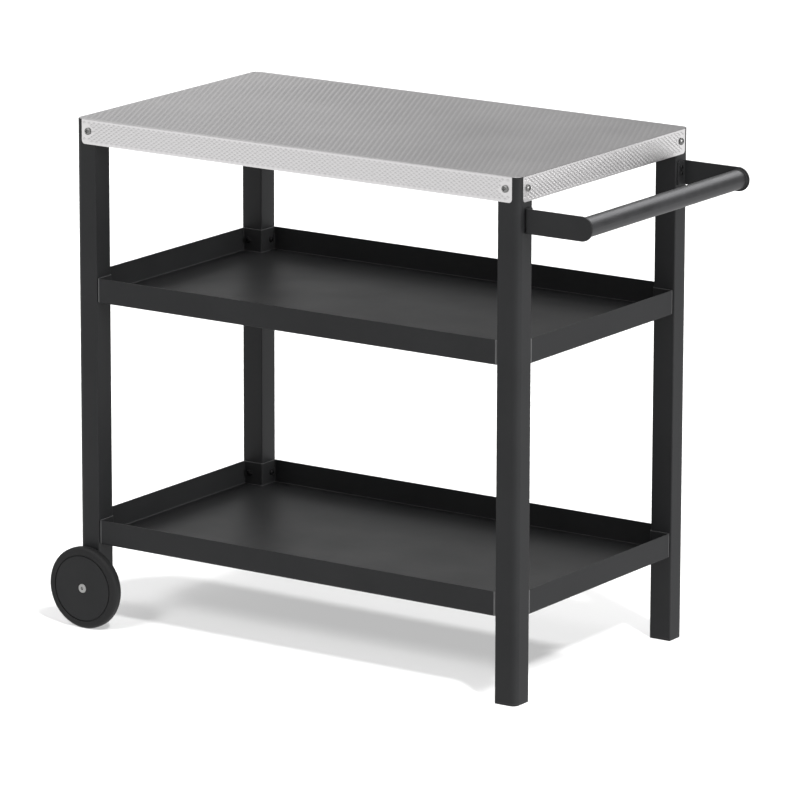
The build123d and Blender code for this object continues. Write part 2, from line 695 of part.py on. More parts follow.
# =============================================================================
# One file for each piece
# =============================================================================
pieces = {
    "table_top": table_top,
    "top_brace_left": top_brace_left,
    "top_brace_right": top_brace_right,
    "leg_front_left": leg_front_left,
    "leg_front_right": leg_front_right,
    "leg_rear_left": leg_rear_left,
    "leg_rear_right": leg_rear_right,
    "leg_end_cap_front_left": leg_end_cap_front_left,
    "leg_end_cap_rear_left": leg_end_cap_rear_left,
    "foot_cap_front_right": foot_cap_front_right,
    "foot_cap_rear_right": foot_cap_rear_right,
    "middle_shelf": middle_shelf,
    "bottom_shelf": bottom_shelf,
    "handle_arm_front": handle_arm_front,
    "handle_arm_rear": handle_arm_rear,
    "handle_bar": handle_bar,
    "handle_weld_beads": handle_weld_beads,
    "top_screws": top_screws,
    "top_rivet_nuts": top_rivet_nuts,
    "middle_shelf_bolts": middle_shelf_bolts,
    "middle_shelf_rivet_nuts": middle_shelf_rivet_nuts,
    "bottom_shelf_bolts": bottom_shelf_bolts,
    "bottom_shelf_rivet_nuts": bottom_shelf_rivet_nuts,
    "handle_bolts": handle_bolts,
    "handle_rivet_nuts": handle_rivet_nuts,
    "wheel_hub_front": wheel_hub_front,
    "wheel_tyre_front": wheel_tyre_front,
    "wheel_bush_front": wheel_bush_front,
    "axle_bolt_front": axle_bolt_front,
    "axle_washers_front": axle_washers_front,
    "axle_spacer_front": axle_spacer_front,
    "axle_lock_nut_front": axle_lock_nut_front,
    "wheel_hub_rear": wheel_hub_rear,
    "wheel_tyre_rear": wheel_tyre_rear,
    "wheel_bush_rear": wheel_bush_rear,
    "axle_bolt_rear": axle_bolt_rear,
    "axle_washers_rear": axle_washers_rear,
    "axle_spacer_rear": axle_spacer_rear,
    "axle_lock_nut_rear": axle_lock_nut_rear,
}

for name, piece in pieces.items():
    piece.part.label = name
    export_step(piece.part, f"parts/{name}.step")
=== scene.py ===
import json
import math

import bpy
import numpy as np
from mathutils import Matrix, Vector
from mathutils.geometry import delaunay_2d_cdt

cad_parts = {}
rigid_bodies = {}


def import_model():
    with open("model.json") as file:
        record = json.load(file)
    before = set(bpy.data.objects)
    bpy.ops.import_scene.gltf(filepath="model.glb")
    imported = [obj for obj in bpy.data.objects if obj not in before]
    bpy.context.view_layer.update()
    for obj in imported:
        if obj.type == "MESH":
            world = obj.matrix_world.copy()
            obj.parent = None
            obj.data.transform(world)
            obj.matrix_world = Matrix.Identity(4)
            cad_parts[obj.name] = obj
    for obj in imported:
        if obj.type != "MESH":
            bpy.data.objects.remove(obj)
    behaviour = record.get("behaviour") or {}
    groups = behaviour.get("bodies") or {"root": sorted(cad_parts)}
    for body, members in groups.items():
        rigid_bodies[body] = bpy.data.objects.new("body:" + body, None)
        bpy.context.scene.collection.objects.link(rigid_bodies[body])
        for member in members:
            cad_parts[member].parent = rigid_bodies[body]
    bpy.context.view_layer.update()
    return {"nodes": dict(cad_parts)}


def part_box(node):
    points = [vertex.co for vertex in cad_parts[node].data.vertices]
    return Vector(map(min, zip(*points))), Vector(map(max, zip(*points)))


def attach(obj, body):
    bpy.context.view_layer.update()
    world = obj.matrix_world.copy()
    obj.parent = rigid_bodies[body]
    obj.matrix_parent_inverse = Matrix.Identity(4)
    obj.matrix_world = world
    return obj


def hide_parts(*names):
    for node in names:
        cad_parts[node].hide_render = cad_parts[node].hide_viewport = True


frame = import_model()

MM = 0.001
nodes = frame["nodes"]
low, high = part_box("table_top")
XL, YF, TOP = low.x / MM, low.y / MM, high.z / MM
XR, YB = high.x / MM, high.y / MM

# =============================================================================
# Camera, floor and light
# =============================================================================
scene = bpy.context.scene


def make_camera():
    yaw, pitch, roll = (math.radians(a) for a in (34.0996, 13.6190, 0.1481))
    ahead = Vector((-math.sin(yaw) * math.cos(pitch), math.cos(yaw) * math.cos(pitch), -math.sin(pitch)))
    right = Vector((math.cos(yaw), math.sin(yaw), 0.0))
    up = right.cross(ahead)
    r = right * math.cos(roll) + up * math.sin(roll)
    u = up * math.cos(roll) - right * math.sin(roll)
    data = bpy.data.cameras.new("camera")
    data.sensor_width = 36.0
    data.lens = 6166.7 / 800 * 36.0
    data.clip_start, data.clip_end = 0.1, 200.0
    cam = bpy.data.objects.new("camera", data)
    m = Matrix((
        (r.x, u.x, -ahead.x, XL * MM + 5.91390),
        (r.y, u.y, -ahead.y, -8.04817),
        (r.z, u.z, -ahead.z, 2.74812),
        (0, 0, 0, 1),
    ))
    cam.matrix_world = m
    scene.collection.objects.link(cam)
    scene.camera = cam


make_camera()
scene.view_settings.view_transform = "Standard"
scene.view_settings.look = "None"
scene.view_settings.exposure = 0.0
scene.view_settings.gamma = 1.0

GROUND, SKY, SKY_BEHIND = 1.0, 0.63, 0.285


def studio():
    """A white studio: bright below the horizon, softer above it, softest behind the cart."""
    world = bpy.data.worlds.new("studio")
    scene.world = world
    world.use_nodes = True
    t = world.node_tree
    back = t.nodes["Background"]
    coord = t.nodes.new("ShaderNodeTexCoord").outputs["Generated"]

    def span(value, from_lo, from_hi, lo, hi):
        n = t.nodes.new("ShaderNodeMapRange")
        for name, v in zip(("From Min", "From Max", "To Min", "To Max"), (from_lo, from_hi, lo, hi)):
            n.inputs[name].default_value = v
        t.links.new(value, n.inputs["Value"])
        return n

    behind = t.nodes.new("ShaderNodeVectorMath")
    behind.operation = "DOT_PRODUCT"
    behind.inputs[1].default_value = (0.05, 0.998, 0.0)
    t.links.new(coord, behind.inputs[0])
    sky = span(behind.outputs["Value"], 0.2, 0.95, SKY, SKY_BEHIND)
    split = t.nodes.new("ShaderNodeSeparateXYZ")
    t.links.new(coord, split.inputs["Vector"])
    tone = span(split.outputs["Z"], -0.20, -0.02, GROUND, 0.0)
    t.links.new(sky.outputs["Result"], tone.inputs["To Max"])
    t.links.new(tone.outputs["Result"], back.inputs["Color"])
    back.inputs["Strength"].default_value = 1.0


def lamp(name, kind, energy, place, target, size=(1.0, 1.0), angle=0.0):
    data = bpy.data.lights.new(name, kind)
    data.energy = energy
    if kind == "AREA":
        data.shape = "RECTANGLE"
        data.size, data.size_y = size
    if kind == "SUN":
        data.angle = math.radians(angle)
    o = bpy.data.objects.new(name, data)
    o.location = place
    way = Vector(target) - Vector(place)
    o.rotation_mode = "QUATERNION"
    o.rotation_quaternion = way.to_track_quat("-Z", "Y")
    o.visible_camera = False
    scene.collection.objects.link(o)
    return o


def group(name, objects):
    """A set of objects for a lamp to light, or to be shaded by."""
    c = bpy.data.collections.new(name)
    for o in objects:
        c.objects.link(o)
    return c


def from_side(azimuth, height, far=6.0):
    """A place seen from the cart at an azimuth from the front towards the handle, in degrees."""
    a, h = math.radians(azimuth), math.radians(height)
    return (far * math.cos(h) * math.sin(a), -far * math.cos(h) * math.cos(a), far * math.sin(h))


studio()
lamp("overhead", "SUN", 1.6, (0.5, -0.9, 5.0), (0, 0, 0), angle=70)
lamp("softbox_left", "AREA", 4.0, (-2.9, 2.7, 1.5), (0, 0, 0.85), size=(1.6, 1.5))
side_key = lamp("side_key", "SUN", 1.9, from_side(90, 17), (0, 0, 0), angle=40)
shelf_key = lamp("shelf_key", "SUN", 1.6, from_side(90, 8), (0, 0, 0), angle=14)
softbox_back = lamp("softbox_back", "AREA", 18.0, (-0.1, 3.3, 3.0), (0.2, 0, 0.8), size=(1.6, 1.2))
bar_light = lamp("bar_light", "AREA", 64.0, (0.7, 3.1, 3.1), (0.46, 0, 0.78), size=(2.8, 1.3))
shelf_fill = lamp("shelf_fill", "AREA", 6.0, (-2.0, 3.2, 1.2), (0, 0, 0.35), size=(2.0, 1.6))
softbox_right = lamp("softbox_right", "AREA", 5.4, (2.55, 2.3, 0.10), (0.39, 0, 0.83), size=(1.3, 1.0))
skirt_key = lamp("skirt_key", "AREA", 6.0, (1.4, 0.0, 0.30), (0.43, 0, 0.83), size=(0.5, 0.4))
softbox_front = lamp("softbox_front", "AREA", 5.5, (-2.2, -3.6, 0.15), (0, -0.25, 0.83), size=(2.2, 1.0))
FLOOR_LAMPS = [
    lamp("floor_back", "SUN", 6.5, from_side(150, 38), (0, 0, 0), angle=7),
    lamp("floor_side", "SUN", 5.6, from_side(57, 46), (0, 0, 0), angle=5),
    lamp("floor_front", "SUN", 4.2, from_side(0, 38), (0, 0, 0), angle=14),
]


# =============================================================================
# Node helpers
# =============================================================================
class Mat:
    """A material with a Principled shader, and short ways to make its nodes."""

    def __init__(self, name):
        self.m = bpy.data.materials.new(name)
        self.m.use_nodes = True
        self.t = self.m.node_tree
        self.t.nodes.clear()
        self.out = self.t.nodes.new("ShaderNodeOutputMaterial")
        self.b = self.t.nodes.new("ShaderNodeBsdfPrincipled")
        self.link(self.b.outputs["BSDF"], self.out.inputs["Surface"])
        self.coord = self.t.nodes.new("ShaderNodeTexCoord").outputs["Object"]

    def link(self, a, b):
        self.t.links.new(a, b)

    def set(self, **values):
        for k, v in values.items():
            self.b.inputs[k.replace("_", " ")].default_value = v

    def mapped(self, scale=(1, 1, 1), rotation=(0, 0, 0), place=(0, 0, 0)):
        n = self.t.nodes.new("ShaderNodeMapping")
        n.inputs["Scale"].default_value = scale
        n.inputs["Rotation"].default_value = rotation
        n.inputs["Location"].default_value = place
        self.link(self.coord, n.inputs["Vector"])
        return n.outputs["Vector"]

    def noise(self, scale, detail=3.0, rough=0.55, vector=None, distortion=0.0):
        n = self.t.nodes.new("ShaderNodeTexNoise")
        n.inputs["Scale"].default_value = scale
        n.inputs["Detail"].default_value = detail
        n.inputs["Roughness"].default_value = rough
        n.inputs["Distortion"].default_value = distortion
        self.link(vector or self.coord, n.inputs["Vector"])
        return n.outputs["Fac"]

    def voronoi(self, scale, vector=None, feature="F1", out="Distance"):
        n = self.t.nodes.new("ShaderNodeTexVoronoi")
        n.feature = feature
        n.inputs["Scale"].default_value = scale
        self.link(vector or self.coord, n.inputs["Vector"])
        return n.outputs[out]

    def math(self, op, a, b=None, clamp=False):
        n = self.t.nodes.new("ShaderNodeMath")
        n.operation = op
        n.use_clamp = clamp
        for i, v in enumerate((a, b)):
            if v is None:
                continue
            if isinstance(v, (int, float)):
                n.inputs[i].default_value = v
            else:
                self.link(v, n.inputs[i])
        return n.outputs[0]

    def span(self, value, lo, hi, from_lo=0.3, from_hi=0.7):
        n = self.t.nodes.new("ShaderNodeMapRange")
        n.inputs["From Min"].default_value = from_lo
        n.inputs["From Max"].default_value = from_hi
        n.inputs["To Min"].default_value = lo
        n.inputs["To Max"].default_value = hi
        self.link(value, n.inputs["Value"])
        return n.outputs["Result"]

    def ramp(self, value, *stops):
        n = self.t.nodes.new("ShaderNodeValToRGB")
        e = n.color_ramp.elements
        while len(e) < len(stops):
            e.new(0.5)
        for i, (at, colour) in enumerate(stops):
            e[i].position = at
            e[i].color = (*colour, 1.0) if len(colour) == 3 else colour
        self.link(value, n.inputs["Fac"])
        return n.outputs["Color"]

    def mix(self, fac, a, b):
        n = self.t.nodes.new("ShaderNodeMix")
        n.data_type = "RGBA"
        self.link(fac, n.inputs["Factor"])
        for v, s in ((a, n.inputs[6]), (b, n.inputs[7])):
            if isinstance(v, tuple):
                s.default_value = (*v, 1.0)
            else:
                self.link(v, s)
        return n.outputs[2]

    def bevel(self, radius):
        n = self.t.nodes.new("ShaderNodeBevel")
        n.samples = 6
        n.inputs["Radius"].default_value = radius
        return n.outputs["Normal"]

    def edge(self, radius, lo=0.02, hi=0.25):
        """0 on flat faces, rising to 1 on edges, from how far a rounded edge's normal leans."""
        normal = self.t.nodes.new("ShaderNodeNewGeometry").outputs["Normal"]
        n = self.t.nodes.new("ShaderNodeVectorMath")
        n.operation = "DOT_PRODUCT"
        self.link(self.bevel(radius), n.inputs[0])
        self.link(normal, n.inputs[1])
        lean = self.math("SUBTRACT", 1.0, n.outputs["Value"], clamp=True)
        return self.span(lean, 0.0, 1.0, lo, hi)

    def bump(self, height, distance, strength=1.0, normal=None):
        n = self.t.nodes.new("ShaderNodeBump")
        n.inputs["Strength"].default_value = strength
        n.inputs["Distance"].default_value = distance
        self.link(height, n.inputs["Height"])
        if normal is not None:
            self.link(normal, n.inputs["Normal"])
        return n.outputs["Normal"]

    def to(self, socket, value):
        self.link(value, self.b.inputs[socket])


# =============================================================================
# Materials
# =============================================================================
def charcoal_paint(name="charcoal_paint", with_fold_highlights=False):
    k = Mat(name)
    fine = k.noise(1400, 2.0, 0.6)
    cloud = k.noise(9, 4.0, 0.55)
    tone = k.math("ADD", k.math("MULTIPLY", fine, 0.45), k.math("MULTIPLY", cloud, 0.55))
    coat = k.ramp(tone, (0.32, (0.0190, 0.0193, 0.0202)), (0.68, (0.0270, 0.0274, 0.0285)))
    # lighter edges: partly edge wear, partly a painted highlight along rounded edges and rims
    edge_wear_and_highlight = k.math("MULTIPLY", k.edge(0.0011), k.span(k.noise(160, 3.0), 0.3, 1.0), clamp=True)
    if with_fold_highlights:
        # painted highlights: the coat is lighter where a tray's walls fold round the legs, along those walls' top rims,
        # and in the bends at its floor
        (x0, y0, _), (x1, y1, _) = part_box("middle_shelf")
        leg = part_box("leg_front_left")[1]
        split = k.t.nodes.new("ShaderNodeSeparateXYZ")
        k.link(k.coord, split.inputs["Vector"])
        x = k.math("ABSOLUTE", k.math("SUBTRACT", split.outputs["X"], (x0 + x1) / 2))
        y = k.math("ABSOLUTE", split.outputs["Y"])
        in_x, in_y = (x0 + x1) / 2 - leg.x, -leg.y
        near = None
        for a, b in ((in_x, y1), ((x1 - x0) / 2, in_y)):
            dx, dy = k.math("SUBTRACT", x, a), k.math("SUBTRACT", y, b)
            d = k.math("SQRT", k.math("ADD", k.math("MULTIPLY", dx, dx), k.math("MULTIPLY", dy, dy)))
            near = d if near is None else k.math("MINIMUM", near, d)
        lean = k.t.nodes.new("ShaderNodeSeparateXYZ")
        k.link(k.t.nodes.new("ShaderNodeNewGeometry").outputs["Normal"], lean.inputs["Vector"])
        outward = k.math("ADD",
            k.math("MULTIPLY", lean.outputs["X"], k.math("SIGN", k.math("SUBTRACT", split.outputs["X"], (x0 + x1) / 2))),
            k.math("MULTIPLY", lean.outputs["Y"], k.math("SIGN", split.outputs["Y"])))
        # painted highlight: a light line on the outward-facing side of each upright fold, and along the notch walls'
        # top rims
        painted_fold_highlight = k.math("MULTIPLY", k.span(near, 1.0, 0.0, 0.0034, 0.0044), k.span(outward, 0.0, 1.0, 0.2, 0.5))
        flange = k.math("MINIMUM", k.span(x, 0.0, 0.7, in_x - 0.003, in_x - 0.002), k.span(y, 0.0, 0.7, in_y - 0.003, in_y - 0.002))
        for tray in ("middle_shelf", "bottom_shelf"):
            off = k.math("ABSOLUTE", k.math("SUBTRACT", split.outputs["Z"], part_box(tray)[1].z))
            painted_fold_highlight = k.math("MAXIMUM", painted_fold_highlight, k.math("MULTIPLY", flange, k.span(off, 1.0, 0.0, 0.0004, 0.0014)))
        # painted highlight in the bends between a tray's walls and floor, where the normal leans part way up
        painted_bend_highlight = k.math("MULTIPLY", k.span(lean.outputs["Z"], 0.0, 1.0, 0.15, 0.30), k.span(lean.outputs["Z"], 0.8, 0.0, 0.85, 0.95))
        edge_wear_and_highlight = k.math("MAXIMUM", k.math("MULTIPLY", edge_wear_and_highlight, 0.3), k.math("MULTIPLY", painted_bend_highlight, k.span(k.noise(60, 3.0), 0.55, 0.9)))
        coat = k.mix(k.math("MULTIPLY", painted_fold_highlight, k.span(k.noise(60, 3.0), 0.75, 1.0)), coat, (0.165, 0.165, 0.167))
    k.to("Base Color", k.mix(edge_wear_and_highlight, coat, (0.070, 0.070, 0.071)))
    k.to("Roughness", k.span(k.math("ADD", k.math("MULTIPLY", fine, 0.5), k.math("MULTIPLY", cloud, 0.5)), 0.44 if with_fold_highlights else 0.40, 0.56 if with_fold_highlights else 0.54))
    k.set(Specular_IOR_Level=0.17)
    k.to("Normal", k.bump(fine, 0.00006, 0.35, k.bevel(0.0005)))
    return k.m


def embossed_steel():
    k = Mat("embossed_steel")
    grain = k.noise(1.0, 3.0, 0.6, k.mapped((60, 2600, 2600)))
    cloud = k.noise(5.5, 4.0, 0.55)
    tone = k.math("ADD", k.math("MULTIPLY", grain, 0.5), k.math("MULTIPLY", cloud, 0.5))
    k.to("Base Color", k.ramp(tone, (0.3, (0.620, 0.610, 0.614)), (0.7, (0.688, 0.677, 0.680))))
    k.set(Metallic=1.0)
    k.to("Roughness", k.span(tone, 0.36, 0.46))
    k.to("Normal", k.bump(grain, 0.00001, 0.3))
    return k.m


def gunmetal_steel():
    k = Mat("gunmetal_steel")
    fine = k.noise(700, 3.0, 0.6)
    cloud = k.noise(30, 4.0, 0.6)
    tone = k.math("ADD", k.math("MULTIPLY", fine, 0.5), k.math("MULTIPLY", cloud, 0.5))
    k.to("Base Color", k.ramp(tone, (0.3, (0.060, 0.060, 0.062)), (0.7, (0.092, 0.092, 0.096))))
    k.set(Metallic=1.0)
    k.to("Roughness", k.span(tone, 0.40, 0.54))
    k.to("Normal", k.bump(k.noise(420, 3.0, 0.6), 0.00008, 0.35, k.bevel(0.0005)))
    return k.m


def galvanised_steel():
    k = Mat("galvanised_steel")
    cell = k.voronoi(120, feature="F1", out="Color")
    spangle = k.ramp(k.math("MULTIPLY", cell, 1.0), (0.1, (0.40, 0.41, 0.42)), (0.9, (0.58, 0.59, 0.60)))
    k.to("Base Color", spangle)
    k.set(Metallic=0.9)
    k.to("Roughness", k.span(k.noise(240, 3.0), 0.38, 0.58))
    k.to("Normal", k.bump(k.noise(900, 2.0), 0.00003, 0.3, k.bevel(0.0006)))
    return k.m


def plated(name, lo, hi, rough_lo, rough_hi, scale=700):
    k = Mat(name)
    fine = k.noise(scale, 3.0, 0.6)
    k.to("Base Color", k.ramp(fine, (0.3, lo), (0.7, hi)))
    k.set(Metallic=1.0)
    k.to("Roughness", k.span(fine, rough_lo, rough_hi))
    k.to("Normal", k.bump(k.noise(scale * 3, 2.0), 0.00001, 0.4, k.bevel(0.0003)))
    return k.m


def black_oxide():
    k = Mat("black_oxide_steel")
    fine = k.noise(900, 3.0, 0.6)
    edge_wear_and_highlight = k.edge(0.0004)
    k.to("Base Color", k.mix(edge_wear_and_highlight, k.ramp(fine, (0.3, (0.005, 0.005, 0.005)), (0.7, (0.010, 0.010, 0.011))), (0.016, 0.016, 0.016)))
    k.set(Specular_IOR_Level=0.15)
    k.to("Roughness", k.span(fine, 0.38, 0.52))
    k.to("Normal", k.bump(fine, 0.00001, 0.4, k.bevel(0.0003)))
    return k.m


def moulded(name, lo, hi, rough_lo, rough_hi, scale, depth, specular, edge_tone=None):
    k = Mat(name)
    fine = k.noise(scale, 2.0, 0.55)
    cloud = k.noise(18, 3.0)
    tone = k.math("ADD", k.math("MULTIPLY", fine, 0.4), k.math("MULTIPLY", cloud, 0.6))
    base = k.ramp(tone, (0.3, lo), (0.7, hi))
    if edge_tone:
        base = k.mix(k.edge(0.0009), base, edge_tone)
    k.to("Base Color", base)
    k.to("Roughness", k.span(tone, rough_lo, rough_hi))
    k.set(Specular_IOR_Level=specular)
    k.to("Normal", k.bump(fine, depth, 0.4, k.bevel(0.0005)))
    return k.m


MATERIALS = {
    "embossed_steel": embossed_steel(),
    "galvanised_steel": galvanised_steel(),
    "charcoal_paint": charcoal_paint(),
    # the trays' paint, with painted highlights on their folds, notch rims and bends
    "charcoal_paint_highlighted_folds": charcoal_paint("charcoal_paint_highlighted_folds", with_fold_highlights=True),
    "cap_plastic": moulded("cap_plastic", (0.010, 0.010, 0.010), (0.017, 0.017, 0.018), 0.45, 0.6, 1800, 0.00004, 0.35),
    "zinc_steel": plated("zinc_steel", (0.50, 0.51, 0.52), (0.62, 0.62, 0.61), 0.26, 0.40),
    "bright_steel": plated("bright_steel", (0.34, 0.34, 0.335), (0.44, 0.44, 0.435), 0.24, 0.36),
    "dull_steel": plated("dull_steel", (0.20, 0.20, 0.20), (0.29, 0.29, 0.285), 0.26, 0.40),
    "gunmetal_steel": gunmetal_steel(),
    "black_oxide_steel": black_oxide(),
    "wheel_plastic": moulded("wheel_plastic", (0.018, 0.0183, 0.019), (0.025, 0.0254, 0.0262), 0.42, 0.56, 1600, 0.00005, 0.17, (0.045, 0.045, 0.046)),
    "tyre_rubber": moulded("tyre_rubber", (0.0145, 0.0145, 0.015), (0.0215, 0.0215, 0.022), 0.52, 0.68, 1100, 0.00005, 0.20),
    "bush_nylon": moulded("bush_nylon", (0.66, 0.65, 0.60), (0.78, 0.77, 0.72), 0.35, 0.5, 900, 0.00003, 0.5),
}

SLOT_OF = {
    "top_brace_left": "galvanised_steel", "top_brace_right": "galvanised_steel",
    "leg_end_cap_front_left": "cap_plastic", "leg_end_cap_rear_left": "cap_plastic",
    "foot_cap_front_right": "cap_plastic", "foot_cap_rear_right": "cap_plastic",
    "table_top": "embossed_steel", "top_screws": "dull_steel", "handle_bar": "gunmetal_steel",
    "middle_shelf_bolts": "black_oxide_steel", "bottom_shelf_bolts": "black_oxide_steel",
    "handle_bolts": "black_oxide_steel",
    "middle_shelf": "charcoal_paint_highlighted_folds", "bottom_shelf": "charcoal_paint_highlighted_folds",
}
for name in nodes:
    if name in SLOT_OF:
        continue
    if name.startswith("wheel_hub"):
        SLOT_OF[name] = "wheel_plastic"
    elif name.startswith("wheel_tyre"):
        SLOT_OF[name] = "tyre_rubber"
    elif name.startswith("wheel_bush"):
        SLOT_OF[name] = "bush_nylon"
    elif name.startswith("axle_bolt"):
        SLOT_OF[name] = "bright_steel"
    elif name.startswith("axle_") or name.endswith("rivet_nuts"):
        SLOT_OF[name] = "zinc_steel"
    else:
        SLOT_OF[name] = "charcoal_paint"

for name, o in nodes.items():
    m = MATERIALS[SLOT_OF[name]]
    if not o.material_slots:
        o.data.materials.append(m)
    for s in o.material_slots:
        s.material = m

# =============================================================================
# Embossed top: one sheet with raised lozenges, folded down on four sides
# =============================================================================
PIP = 0.8                     # height of a lozenge; the sheet between them lies this much lower
UNDER = TOP - 1.0             # underside of the plate
BEND, CORNER, GAP, ROUND = 2.0, 13.0, 13.5, 6.0
ARC = BEND * math.pi / 2
SKIRT_END = low.z / MM
DROP = TOP - BEND - SKIRT_END
REACH = ARC + DROP            # sheet past the start of a bend
RIM = 1.6                     # how far the rounding runs at the open corners
LINES = (0.0, 0.8, 1.6, 2.35, ARC)
PITCH = 9.94                  # lozenges along a row; every other row is half a pitch on
PLATE = (10.24, 4.3, 8.6, 1.3, 2.6)    # row to row, half sizes of a lozenge and of its flat
SKIRTS = (3.33, 4.3, 2.8, 1.3, 0.8)
SCREW_IN, SCREW_Z, HOLE_R, HEAD_R = 26.0, 828.0, 3.3, 6.1


def corner_arc(cx, cy, r, a0, steps=8):
    return [
        (cx + r * math.cos(math.radians(a0 + 90 * i / steps)), cy + r * math.sin(math.radians(a0 + 90 * i / steps)))
        for i in range(steps + 1)
    ]


def sheet_outline():
    """The flat sheet's outline before folding, counter-clockwise, in millimetres."""
    xl, xr, yf, yb = XL + BEND, XR - BEND, YF + BEND, YB - BEND
    far = [e for e in LINES if e > RIM + 1e-6]
    out = []
    # front tab
    x0, x1, v = XL + GAP, XR - GAP, yf - REACH
    out += [(x0, yf - RIM)] + [(x0, yf - e) for e in far] + corner_arc(x0 + ROUND, v + ROUND, ROUND, 180)
    out += corner_arc(x1 - ROUND, v + ROUND, ROUND, 270) + [(x1, yf - e) for e in reversed(far)] + [(x1, yf - RIM)]
    out += corner_arc(XR - CORNER, YF + CORNER, CORNER - BEND + RIM, 270)
    # handle-side tab
    y0, y1, u = YF + GAP, YB - GAP, xr + REACH
    out += [(xr + RIM, y0)] + [(xr + e, y0) for e in far] + corner_arc(u - ROUND, y0 + ROUND, ROUND, 270)
    out += corner_arc(u - ROUND, y1 - ROUND, ROUND, 0) + [(xr + e, y1) for e in reversed(far)] + [(xr + RIM, y1)]
    out += corner_arc(XR - CORNER, YB - CORNER, CORNER - BEND + RIM, 0)
    # rear tab
    v = yb + REACH
    out += [(x1, yb + RIM)] + [(x1, yb + e) for e in far] + corner_arc(x1 - ROUND, v - ROUND, ROUND, 0)
    out += corner_arc(x0 + ROUND, v - ROUND, ROUND, 90) + [(x0, yb + e) for e in reversed(far)] + [(x0, yb + RIM)]
    out += corner_arc(XL + CORNER, YB - CORNER, CORNER - BEND + RIM, 90)
    # wheel-side tab
    u = xl - REACH
    out += [(xl - RIM, y1)] + [(xl - e, y1) for e in far] + corner_arc(u + ROUND, y1 - ROUND, ROUND, 90)
    out += corner_arc(u + ROUND, y0 + ROUND, ROUND, 180) + [(xl - e, y0) for e in reversed(far)] + [(xl - RIM, y0)]
    out += corner_arc(XL + CORNER, YF + CORNER, CORNER - BEND + RIM, 180)
    tidy = []
    for p in out:
        if not tidy or math.dist(p, tidy[-1]) > 1e-4:
            tidy.append(p)
    return tidy


def bend_loops():
    """Lines along which the sheet bends: closed near the plate, open across each tab."""
    loops, lines = [], []
    for e in LINES:
        r = CORNER - BEND + e
        if e < RIM - 1e-6:
            loop = []
            for cx, cy, a in (
                (XL + CORNER, YF + CORNER, 180), (XR - CORNER, YF + CORNER, 270),
                (XR - CORNER, YB - CORNER, 0), (XL + CORNER, YB - CORNER, 90),
            ):
                loop += corner_arc(cx, cy, r, a)
            loops.append(loop)
        else:
            x0, x1, y0, y1 = XL + GAP, XR - GAP, YF + GAP, YB - GAP
            lines += [
                ((x0, YF + BEND - e), (x1, YF + BEND - e)), ((x0, YB - BEND + e), (x1, YB - BEND + e)),
                ((XL + BEND - e, y0), (XL + BEND - e, y1)), ((XR - BEND + e, y0), (XR - BEND + e, y1)),
            ]
    return loops, lines


def screw_places():
    """Screw centres in the flat sheet."""
    e = ARC + TOP - BEND - SCREW_Z
    out = []
    for x in (XL + SCREW_IN, XR - SCREW_IN):
        out += [(x, YF + BEND - e), (x, YB - BEND + e)]
    for y in (YF + SCREW_IN, YB - SCREW_IN):
        out += [(XL + BEND - e, y), (XR - BEND + e, y)]
    return out


def lozenges():
    """(u, v, turned, sizes) of each lozenge in the flat sheet; turned ones lie along Y."""
    out = []

    def lattice(a0, a1, b0, b1, sizes):
        step, half = sizes[0], sizes[2]
        rows = int((b1 - b0 - 2 * half) / step) + 1
        for n in range(rows):
            b = (b0 + b1) / 2 + step * (n - (rows - 1) / 2)
            a = a0 + (PITCH / 2 if n % 2 else 0.0)
            while a <= a1:
                yield a, b
                a += PITCH

    inside, long = BEND + 0.7, PLATE[1]
    for a, b in lattice(XL + inside + long, XR - inside - long, YF + inside, YB - inside, PLATE):
        # clear of the rounded corners
        dx = max(XL + CORNER - a, a - XR + CORNER, 0)
        dy = max(YF + CORNER - b, b - YB + CORNER, 0)
        if math.hypot(dx, dy) < CORNER - inside - long:
            out.append((a, b, False, PLATE))
    screws = screw_places()

    def on_tab(u, v, turned):
        if all(math.dist((u, v), s) > HEAD_R + SKIRTS[1] + 0.3 for s in screws):
            out.append((u, v, turned, SKIRTS))

    start, end, long = ARC + 0.5, REACH - 0.6, GAP + SKIRTS[1] + 0.8
    for a, e in lattice(XL + long, XR - long, start, end, SKIRTS):
        if e < REACH - ROUND - 1 or XL + long + ROUND < a < XR - long - ROUND:
            on_tab(a, YF + BEND - e, False)
            on_tab(a, YB - BEND + e, False)
    for a, e in lattice(YF + long, YB - long, start, end, SKIRTS):
        if e < REACH - ROUND - 1 or YF + long + ROUND < a < YB - long - ROUND:
            on_tab(XL + BEND - e, a, True)
            on_tab(XR - BEND + e, a, True)
    return out


